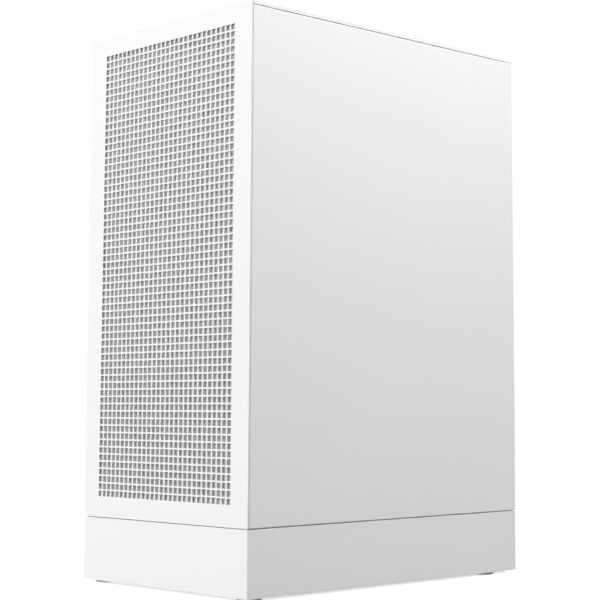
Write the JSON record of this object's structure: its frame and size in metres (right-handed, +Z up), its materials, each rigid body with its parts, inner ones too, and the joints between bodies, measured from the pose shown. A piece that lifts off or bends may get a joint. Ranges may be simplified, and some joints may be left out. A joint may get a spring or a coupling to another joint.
{
  "type": "desktop computer tower",
  "caption": "Compact white desktop computer tower with a square-punched front, plain steel side, glass side and a plinth under a shadow gap, opening to show its working insides.",
  "frame": {"origin": "on the standing surface, under the middle of the tower", "axes": "+Z up, the punched front faces -Y, the plain steel cover faces +X"},
  "size_m": [0.187, 0.275, 0.406],
  "materials": {
    "white_steel": "fine matt powder coat",
    "chassis_white": "matt powder coat",
    "white_plastic": "fine textured plastic",
    "grey_plastic": "moulded plastic",
    "filter_mesh": "fine nylon mesh",
    "base_filter": "moulded frame with nylon mesh",
    "glass": "clear tempered glass",
    "rubber": "matt rubber",
    "black_plastic": "matt black plastic",
    "fan_plastic": "satin black plastic",
    "circuit_board": "solder resist",
    "aluminium": "bare aluminium",
    "dark_metal": "black paint",
    "bright_steel": "zinc-plated steel",
    "nickel": "nickel plate",
    "cable_sleeve": "braided sleeve",
    "nylon": "natural nylon"
  },
  "bodies": {
    "chassis": {"board_connectors": "black_plastic", "board_covers": "dark_metal", "board_mounts": "bright_steel", "card_backplate": "dark_metal", "card_board": "circuit_board", "card_bracket": "bright_steel", "card_heatsink": "aluminium", "card_shroud": "black_plastic", "chassis_floor": "chassis_white", "chassis_front": "chassis_white", "chassis_rear": "chassis_white", "chassis_screws": "dark_metal", "chassis_top": "chassis_white", "cooler_base": "nickel", "cooler_fins": "aluminium", "cooler_mounts": "bright_steel", "cpu_fan_frame": "fan_plastic", "drive_cage": "chassis_white", "feet": "rubber", "front_fan_frames": "fan_plastic", "hard_drive": "aluminium", "internal_cables": "cable_sleeve", "memory_modules": "dark_metal", "motherboard": "circuit_board", "motherboard_tray": "chassis_white", "panel_clips": "nylon", "plinth": "white_steel", "port_board": "black_plastic", "port_shells": "nickel", "port_strip": "white_plastic", "processor": "nickel", "psu_case": "dark_metal", "psu_fan_frame": "fan_plastic", "psu_inlet": "black_plastic", "psu_inside": "black_plastic", "psu_shroud": "chassis_white", "rear_fan_frame": "fan_plastic", "rear_port_plate": "bright_steel", "rear_ports": "nickel"},
    "front_cover": {"front_panel": "white_steel", "front_carrier": "white_plastic", "front_filter_frame": "grey_plastic", "front_filter_mesh": "filter_mesh"},
    "right_cover": {"right_panel": "white_steel"},
    "left_cover": {"left_glass": "glass", "left_glass_frame": "dark_metal"},
    "top_cover": {"top_panel": "white_steel", "top_carrier": "white_plastic", "top_filter": "base_filter"},
    "base_filter_tray": {"base_filter": "base_filter"},
    "power_button_cap": {"power_button": "white_plastic"},
    "mains_rocker": {"psu_switch_rocker": "black_plastic"},
    "front_fan_lower": {"front_fan_lower_rotor": "fan_plastic"},
    "front_fan_upper": {"front_fan_upper_rotor": "fan_plastic"},
    "rear_fan": {"rear_fan_rotor": "fan_plastic"},
    "cpu_fan": {"cpu_fan_rotor": "fan_plastic"},
    "psu_fan": {"psu_fan_rotor": "fan_plastic"},
    "card_front_fan": {"card_fan_front": "fan_plastic"},
    "card_rear_fan": {"card_fan_rear": "fan_plastic"}
  },
  "joints": [
    {"name": "front_cover_pull", "type": "slide", "parent": "chassis", "child": "front_cover", "axis": [0, -1, 0], "range_m": [0, 0.09]},
    {"name": "right_cover_pull", "type": "slide", "parent": "chassis", "child": "right_cover", "axis": [1, 0, 0], "range_m": [0, 0.1]},
    {"name": "left_cover_pull", "type": "slide", "parent": "chassis", "child": "left_cover", "axis": [-1, 0, 0], "range_m": [0, 0.1]},
    {"name": "top_cover_lift", "type": "slide", "parent": "chassis", "child": "top_cover", "axis": [0, 0, 1], "range_m": [0, 0.09]},
    {"name": "base_filter_slide", "type": "slide", "parent": "chassis", "child": "base_filter_tray", "axis": [0, 1, 0], "range_m": [0, 0.175]},
    {"name": "power_button_press", "type": "slide", "parent": "chassis", "child": "power_button_cap", "axis": [0, 0, -1], "range_m": [0, 0.0008], "stiffness_N_per_m": 2000, "springref_m": -0.0005},
    {"name": "mains_rocker_tilt", "type": "hinge", "parent": "chassis", "child": "mains_rocker", "pos_m": [0.02, 0.1295, 0.094], "axis": [1, 0, 0], "range_deg": [-16, 0]},
    {"name": "front_fan_lower_spin", "type": "hinge", "parent": "chassis", "child": "front_fan_lower", "pos_m": [0, -0.1137, 0.177], "axis": [0, -1, 0], "continuous": true},
    {"name": "front_fan_upper_spin", "type": "hinge", "parent": "chassis", "child": "front_fan_upper", "pos_m": [0, -0.1137, 0.318], "axis": [0, -1, 0], "continuous": true},
    {"name": "rear_fan_spin", "type": "hinge", "parent": "chassis", "child": "rear_fan", "pos_m": [-0.033, 0.122, 0.33], "axis": [0, -1, 0], "continuous": true},
    {"name": "cpu_fan_spin", "type": "hinge", "parent": "chassis", "child": "cpu_fan", "pos_m": [-0.016, 0.014, 0.312], "axis": [0, -1, 0], "continuous": true},
    {"name": "psu_fan_spin", "type": "hinge", "parent": "chassis", "child": "psu_fan", "pos_m": [-0.004, 0.062, 0.0639], "axis": [0, 0, -1], "continuous": true},
    {"name": "card_front_fan_spin", "type": "hinge", "parent": "chassis", "child": "card_front_fan", "pos_m": [-0.004, -0.021, 0.1939], "axis": [0, 0, -1], "continuous": true},
    {"name": "card_rear_fan_spin", "type": "hinge", "parent": "chassis", "child": "card_rear_fan", "pos_m": [-0.004, 0.075, 0.1939], "axis": [0, 0, -1], "continuous": true}
  ]
}
